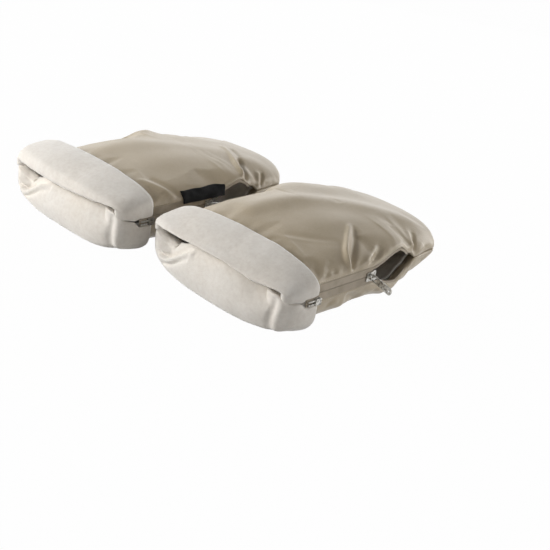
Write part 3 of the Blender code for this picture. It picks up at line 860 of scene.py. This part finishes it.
def cuff_piece(muff, centre, half, slit, folds, seed):
    """A half of the turned-out cuff: a fat roll of fleece whose ends are rounded at the zips."""
    outline, walked = cuff_outline(half)
    grid = cuff_grid(half, outline)
    height = np.abs(grid[..., 2] - chain_height)
    skin = smooth((np.broadcast_to(outline[:, 1], height.shape) - layer_gap) / cuff_skin_fade)
    front_y = mouth_y + cuff_depth * cuff_front_share
    front = smooth((front_y - grid[..., 1]) / cuff_front_fade)
    above_lip = smooth((height - lip_height(grid[..., 1])) / cuff_lip_fade)
    free = np.clip(skin + front, 0, 1) * above_lip
    lift = unevenness(grid, cuff_unevenness, seed)
    if half["sign"] > 0:
        lift += cuff_swell[muff] * skin * smooth((height - cuff_thickness) / cuff_thickness)
    else:
        lift += cuff_fold_heights(grid, folds)
        free = free * smooth(grid[..., 2] / rest_fade)
    shift = pocket_shift(grid, half)
    shift[..., 2] += slit_shift(grid, half, slit)
    grid = grid + cuff_normals(grid, half) * (lift * free)[..., None] + shift
    grid[..., 2] = np.maximum(grid[..., 2], 0)
    points = (grid + centre).reshape(-1, 3)
    around = np.linspace(0, shell_girth, len(grid))
    uvs = np.stack(np.meshgrid(around, walked, indexing="ij"), -1).reshape(-1, 2)
    faces = tube_faces(*grid.shape[:2])
    made = mesh_object(f"{muff}_{half['name']}_fleece_cuff", points, faces, uvs)
    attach(made, body_of(muff, half))
    return finish_piece(made, f"{muff}_{half['name']}_cuff", cuff_fleece)


# The woven label, sewn over the lower edge of a shell's +X side
label_rows = 48
label_columns = 10
label_seam = 0.002
label_stand = 0.0004
label_thickness = 0.0006
label_curl = 0.0008
label_wave = 0.0004
label_pitch = 0.021


def label_piece(shell, centre, half):
    """A strip of woven satin that follows the shell, with its lower edge standing a little free."""
    corners = [vertex.co for vertex in shell.data.vertices]
    tree = BVHTree.FromPolygons(corners, [face.vertices for face in shell.data.polygons])
    stations = np.linspace(label_low.y, label_high.y, label_rows)
    heights = np.linspace(label_low.z, label_high.z, label_columns)
    face = np.zeros((label_rows, label_columns, 3))
    for row, y in enumerate(stations):
        sewn = chain_height + float(side_rim_height(half, y - centre[1])) + label_seam
        wave = label_wave * (1 + math.sin(2 * math.pi * y / label_pitch))
        for column, z in enumerate(heights):
            start = Vector((label_high.x + shell_thickness, y, max(z, sewn)))
            hit = tree.ray_cast(start, Vector((-1, 0, 0)))[0]
            free = 1 - column / (label_columns - 1)
            curl = label_curl * free**2 + wave * free
            face[row, column] = (hit.x + label_stand + curl, y, z)
    uvs = face[..., 1:]
    made = closed_sheet("left_woven_label", face + (label_thickness, 0, 0), face, uvs)
    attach(made, "left_top")
    return finish_piece(made, "left_label", label_cloth)


# Materials. Wavelengths, pitches, widths and bump distances are lengths on the object.

# The painted highlight along a cuff's hem, a paler line on the hem's shoulder that a bump also
# raises a little: how far over the hem's edge it runs, and its width
hem_highlight = 0.0108
hem_highlight_width = 0.0020

# The stitches beside a shell's rim: their distance from it, their width and pitch, and the level
# of their wave, from -1 to 1, from which a stitch shows
stitch_distance = 0.0026
stitch_width = 0.0005
stitch_pitch = 0.0030
stitch_from = -0.35

# Threads of the cloths, and the fleece's clumps and pile
weave_pitch = 0.00055
twill_pitches = (0.0008, 0.0011)
satin_pitch = 0.0005
clump_length = 0.0046
pile_length = 0.0009


def linear(red, green, blue):
    """An sRGB colour from 0 to 255, as linear values with full cover."""
    shares = (red / 255, green / 255, blue / 255)
    return (*(v / 12.92 if v <= 0.04045 else ((v + 0.055) / 1.055) ** 2.4 for v in shares), 1)


class Tree:
    """The nodes of a material or of the world, added one at a time."""

    def __init__(self, owner, shader):
        owner.use_nodes = True
        self.owner = owner
        self.nodes = owner.node_tree.nodes
        self.shader = self.nodes[shader]

    def feed(self, node, inputs):
        """A node's inputs, by name or number, take plain values or other nodes' outputs."""
        for name, value in inputs.items():
            if isinstance(value, bpy.types.NodeSocket):
                self.owner.node_tree.links.new(value, node.inputs[name])
            else:
                node.inputs[name].default_value = value

    def add(self, kind, inputs, **settings):
        """A node with its settings made and its inputs fed."""
        made = self.nodes.new(kind)
        for name, value in settings.items():
            setattr(made, name, value)
        self.feed(made, inputs)
        return made

    def place(self, coordinates):
        return self.add("ShaderNodeTexCoord", {}).outputs[coordinates]

    def split(self, coordinates):
        return self.add("ShaderNodeSeparateXYZ", {"Vector": self.place(coordinates)}).outputs

    def noise(self, wavelength, detail=2.0, rough=0.5):
        inputs = {"Scale": 1 / wavelength, "Detail": detail, "Roughness": rough}
        inputs["Vector"] = self.place("Object")
        return self.add("ShaderNodeTexNoise", inputs).outputs["Fac"]

    def cells(self, wavelength):
        inputs = {"Scale": 1 / wavelength, "Vector": self.place("Object")}
        return self.add("ShaderNodeTexVoronoi", inputs).outputs["Distance"]

    def math(self, operation, *values):
        made = self.add("ShaderNodeMath", dict(enumerate(values)), operation=operation)
        return made.outputs["Value"]

    def level(self, value, low, high, full=1.0):
        """A value that runs from 0 to full, run from low to high."""
        inputs = {"Value": value, "From Max": full, "To Min": low, "To Max": high}
        return self.add("ShaderNodeMapRange", inputs).outputs["Result"]

    def ramp(self, factor, stops):
        made = self.add("ShaderNodeValToRGB", {"Fac": factor})
        elements = made.color_ramp.elements
        while len(elements) < len(stops):
            elements.new(0.5)
        for element, (at, colour) in zip(elements, stops):
            element.position = at
            element.color = colour
        return made.outputs["Color"]

    def mix(self, factor, first, second, blend="MIX"):
        inputs = {0: factor, 6: first, 7: second}
        return self.add("ShaderNodeMix", inputs, data_type="RGBA", blend_type=blend).outputs[2]

    def bump(self, height, distance, strength, **under):
        """A normal raised by a height, over another Normal if one is given."""
        inputs = {"Height": height, "Distance": distance, "Strength": strength, **under}
        return self.add("ShaderNodeBump", inputs).outputs["Normal"]

    def wave(self, value, pitch):
        return self.math("SINE", self.math("MULTIPLY", value, 2 * math.pi / pitch))

    def crossed(self, first, second, pitches):
        """Crossed threads, from -1 to 1."""
        return self.math("MULTIPLY", self.wave(first, pitches[0]), self.wave(second, pitches[1]))

    def row(self, value, distance, width):
        """1 on a line at a distance and 0 beside it."""
        beside = self.math("ABSOLUTE", self.math("SUBTRACT", value, distance))
        return self.math("LESS_THAN", beside, width / 2)

    def surface(self, colour, normal, others):
        """The material, once its shader has a colour, a normal and its other inputs."""
        self.feed(self.shader, {"Base Color": colour, "Normal": normal, **others})
        return self.owner


def new_tree(name, colour, roughness, metallic=0.0):
    """A new material's tree, with plain values to start from."""
    tree = Tree(bpy.data.materials.new(name), "Principled BSDF")
    tree.feed(tree.shader, {"Base Color": colour, "Roughness": roughness, "Metallic": metallic})
    return tree


def make_shell_cloth():
    """Satin softshell with faint patches of tone, fine threads and stitches beside the rim."""
    plain = linear(184, 169, 144)
    tree = new_tree("softshell", plain, 0.37)
    tones = ((0.30, linear(177, 162, 136)), (0.52, plain), (0.72, linear(190, 176, 152)))
    tint = tree.ramp(tree.noise(0.055, 3.0), tones)
    specks = ((0.3, (0.93, 0.93, 0.93, 1)), (0.7, (1, 1, 1, 1)))
    cloth = tree.mix(1.0, tint, tree.ramp(tree.noise(0.0016), specks), "MULTIPLY")
    across, along = tree.split("UV")[:2]
    on_stitch = tree.math("GREATER_THAN", tree.wave(along, stitch_pitch), stitch_from)
    sewn = tree.math("MULTIPLY", tree.row(across, stitch_distance, stitch_width), on_stitch)
    crumple = tree.bump(tree.noise(0.014), 0.00035, 0.5)
    seam = tree.bump(sewn, 0.00020, 0.8, Normal=crumple)
    weave = tree.crossed(across, along, (weave_pitch, weave_pitch))
    threads = tree.bump(weave, 0.00004, 0.35, Normal=seam)
    colour = tree.mix(sewn, cloth, linear(196, 186, 168))
    gloss = {"Specular IOR Level": 0.55, "Sheen Weight": 0.12, "Sheen Roughness": 0.30}
    return tree.surface(colour, threads, gloss)


def make_fleece(name, hem_highlight_share, hem_height):
    """Off-white fleece of small clumps; a cuff's fleece also gets a painted highlight along its
    hem, a paler line that a bump raises a little.
    """
    tree = new_tree(name, linear(228, 224, 218), 0.95)
    middle_tone = (0.50, linear(227, 221, 212))
    tones = ((0.30, linear(221, 214, 205)), middle_tone, (0.70, linear(231, 226, 218)))
    mottle = tree.ramp(tree.noise(0.0042, 4.0, 0.6), tones)
    warmth = ((0.35, (0.97, 0.955, 0.935, 1)), (0.65, (1, 1, 1, 1)))
    cloth = tree.mix(1.0, mottle, tree.ramp(tree.noise(0.050), warmth), "MULTIPLY")
    # A paler line over the hem's shoulder: a painted highlight, which the bump below also raises a
    # little
    sewn = tree.row(tree.split("UV")[1], hem_highlight, hem_highlight_width)
    hem = tree.math("MULTIPLY", sewn, hem_highlight_share)
    clumps = tree.bump(tree.noise(clump_length, 4.0, 0.6), 0.0006, 0.5)
    pile = tree.bump(tree.cells(pile_length), 0.0003, 0.4, Normal=clumps)
    raised = tree.bump(hem, hem_height, 0.8, Normal=pile)
    colour = tree.mix(hem, cloth, linear(244, 240, 233))
    gloss = {"Specular IOR Level": 0.2, "Sheen Weight": 0.50, "Sheen Roughness": 0.55}
    return tree.surface(colour, raised, gloss)


def make_tape_cloth():
    """The zip's woven tape, a little darker than the shell."""
    tree = new_tree("zip_tape", linear(172, 159, 140), 0.75)
    tones = ((0.35, linear(164, 151, 131)), (0.65, linear(180, 167, 149)))
    y, z = tree.split("Object")[1:3]
    twill = tree.bump(tree.crossed(y, z, twill_pitches), 0.00008, 0.5)
    threads = tree.bump(tree.noise(0.0012), 0.00012, 0.4, Normal=twill)
    colour = tree.ramp(tree.noise(0.012), tones)
    return tree.surface(colour, threads, {"Sheen Weight": 0.25, "Sheen Roughness": 0.5})


def make_metal():
    """Bright nickel that is worn in spots."""
    tree = new_tree("nickel", linear(176, 173, 166), 0.26, 1.0)
    tones = ((0.32, linear(112, 108, 102)), (0.6, linear(204, 202, 196)))
    colour = tree.ramp(tree.noise(0.0022, 3.0, 0.6), tones)
    rough = tree.level(tree.noise(0.0009, 3.0), 0.16, 0.46)
    grain = tree.bump(tree.noise(0.0007), 0.00003, 0.4)
    return tree.surface(colour, grain, {"Roughness": rough})


def make_label_cloth():
    """Black woven satin."""
    tree = new_tree("label_satin", linear(12, 12, 13), 0.65)
    tones = ((0.35, linear(8, 8, 9)), (0.65, linear(16, 16, 17)))
    threads = tree.bump(tree.wave(tree.split("Object")[1], satin_pitch), 0.00005, 0.5)
    colour = tree.ramp(tree.noise(0.004), tones)
    return tree.surface(colour, threads, {"Sheen Weight": 0.03, "Specular IOR Level": 0.12})


shell_cloth = make_shell_cloth()
fleece = make_fleece("fleece", 0.0, 0.0)
# The cuff's fleece takes the painted highlight along its hem; the lining's fleece has none
cuff_fleece = make_fleece("cuff_fleece", 0.7, 0.0006)
tape_cloth = make_tape_cloth()
metal = make_metal()
label_cloth = make_label_cloth()

finishes = {
    "zip_tape": tape_cloth,
    "tape_end": tape_cloth,
    "zip_box": metal,
    "zip_pin": metal,
    "slider": metal,
    "pull_tab": metal,
    "label": label_cloth,
}
for name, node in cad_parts.items():
    for ending, finish in finishes.items():
        if name.endswith(ending):
            node.data.materials.clear()
            node.data.materials.append(finish)

# Each muff's name, place, folds and the seed of its unevenness, which each piece steps on
lower_seed = 5
lining_seed = 50
cuff_seed = 90
muffs = (
    ("right", right_centre, near_folds, near_slit, near_cuff_folds, 11),
    ("left", left_centre, far_folds, far_slit, far_cuff_folds, 37),
)
for muff, centre, folds, slit, cuff_folds, seed in muffs:
    upper = {**UPPER, "crest": upper_crest[muff], "mouth_crest": upper_mouth_crest[muff]}
    for half in (upper, LOWER):
        own = seed + (lower_seed if half is LOWER else 0)
        shell = shell_piece(muff, centre, half, folds, own)
        if muff == "left" and half is upper:
            label_piece(shell, centre, half)
        lining_piece(muff, centre, half, own + lining_seed)
        cuff_piece(muff, centre, half, slit, cuff_folds, own + cuff_seed)

# The camera, at the photograph's angle
sensor_width = 36
frame_pixels = 550
focal_pixels = 1000
camera_distance = 1.02219
camera_azimuth = math.radians(39.22)
camera_elevation = math.radians(24.69)
camera_roll = math.radians(9.77)
shift_pixels = (31.5, 0.3)


def make_camera():
    """The photograph's view, aimed at the right muff's place and shifted in the frame."""
    a, e = camera_azimuth, camera_elevation
    forward = Vector((-math.sin(a) * math.cos(e), math.cos(a) * math.cos(e), -math.sin(e)))
    level = Vector((math.cos(a), math.sin(a), 0))
    upward = level.cross(forward)
    right = level * math.cos(camera_roll) + upward * math.sin(camera_roll)
    top = upward * math.cos(camera_roll) - level * math.sin(camera_roll)
    data = bpy.data.cameras.new("camera")
    data.sensor_width = sensor_width
    data.lens = sensor_width * focal_pixels / frame_pixels
    data.shift_x = -shift_pixels[0] / frame_pixels
    data.shift_y = shift_pixels[1] / frame_pixels
    made = bpy.data.objects.new("camera", data)
    bpy.context.scene.collection.objects.link(made)
    turn = Matrix((right, top, -forward)).transposed().to_4x4()
    made.matrix_world = Matrix.Translation(Vector(right_centre) - forward * camera_distance) @ turn
    bpy.context.scene.camera = made


# The lamps, as (name, place, size, power): each shines at the middle of the pair
middle = (0.0, 0.0, 0.03)
lamps = (
    ("key", (-1.15, -1.15, 0.60), 0.9, 29),
    ("side", (1.55, 0.30, 0.26), 1.0, 6.5),
    ("left", (-1.60, 0.15, 0.50), 1.3, 5),
    ("rim", (-0.80, 1.25, 0.55), 1.3, 4),
    ("nose", (0.50, 1.45, 0.45), 1.0, 10),
)

# The white room: its light at the level and overhead, for soft light and for reflections
room_light = (0.37, 0.12)
room_glow = (1.0, 0.4)
overhead = 0.7

# The ground: how pale it is under the shadow, and how much of it is plain white
floor_reach = 20.0
floor_paleness = 0.55
floor_roughness = 0.9
floor_white = 0.985


def make_lamp(name, place_from, size, power):
    data = bpy.data.lights.new(name, "AREA")
    data.shape = "SQUARE"
    data.size = size
    data.energy = power
    made = bpy.data.objects.new(name, data)
    bpy.context.scene.collection.objects.link(made)
    made.visible_camera = False
    made.location = place_from
    made.rotation_mode = "QUATERNION"
    made.rotation_quaternion = (Vector(middle) - Vector(place_from)).to_track_quat("-Z", "Y")


def make_world():
    """A white studio: all white to the camera, and paler at the level than overhead as a light."""
    world = bpy.data.worlds.new("studio")
    bpy.context.scene.world = world
    tree = Tree(world, "Background")
    height = tree.split("Generated")["Z"]
    seen = tree.add("ShaderNodeLightPath", {}).outputs
    strength = 1.0
    for ray, (low, high) in (("Is Diffuse Ray", room_light), ("Is Glossy Ray", room_glow)):
        level = tree.level(height, low, high, overhead)
        inputs = {"Factor": seen[ray], "A": strength, "B": level}
        strength = tree.add("ShaderNodeMix", inputs).outputs["Result"]
    tree.feed(tree.shader, {"Color": (1, 1, 1, 1), "Strength": strength})


def make_floor():
    """The ground, white to the camera and in reflections apart from the object's shadow."""
    signs = ((-1, -1), (1, -1), (1, 1), (-1, 1))
    corners = [(floor_reach * x, floor_reach * y, 0) for x, y in signs]
    floor = mesh_object("floor", corners, [(0, 1, 2, 3)])
    grey = (floor_paleness, floor_paleness, floor_paleness, 1)
    tree = new_tree("floor", grey, floor_roughness)
    seen = tree.add("ShaderNodeLightPath", {}).outputs
    straight = tree.math("MAXIMUM", seen["Is Camera Ray"], seen["Is Glossy Ray"])
    share = tree.math("MULTIPLY", straight, floor_white)
    white = tree.add("ShaderNodeEmission", {"Strength": 1.0}).outputs["Emission"]
    blend = tree.add("ShaderNodeMixShader", {0: share, 1: tree.shader.outputs["BSDF"], 2: white})
    tree.feed(tree.nodes["Material Output"], {"Surface": blend.outputs["Shader"]})
    floor.data.materials.append(tree.owner)


make_camera()
for lamp in lamps:
    make_lamp(*lamp)
make_world()
make_floor()
bpy.context.scene.view_settings.view_transform = "Standard"
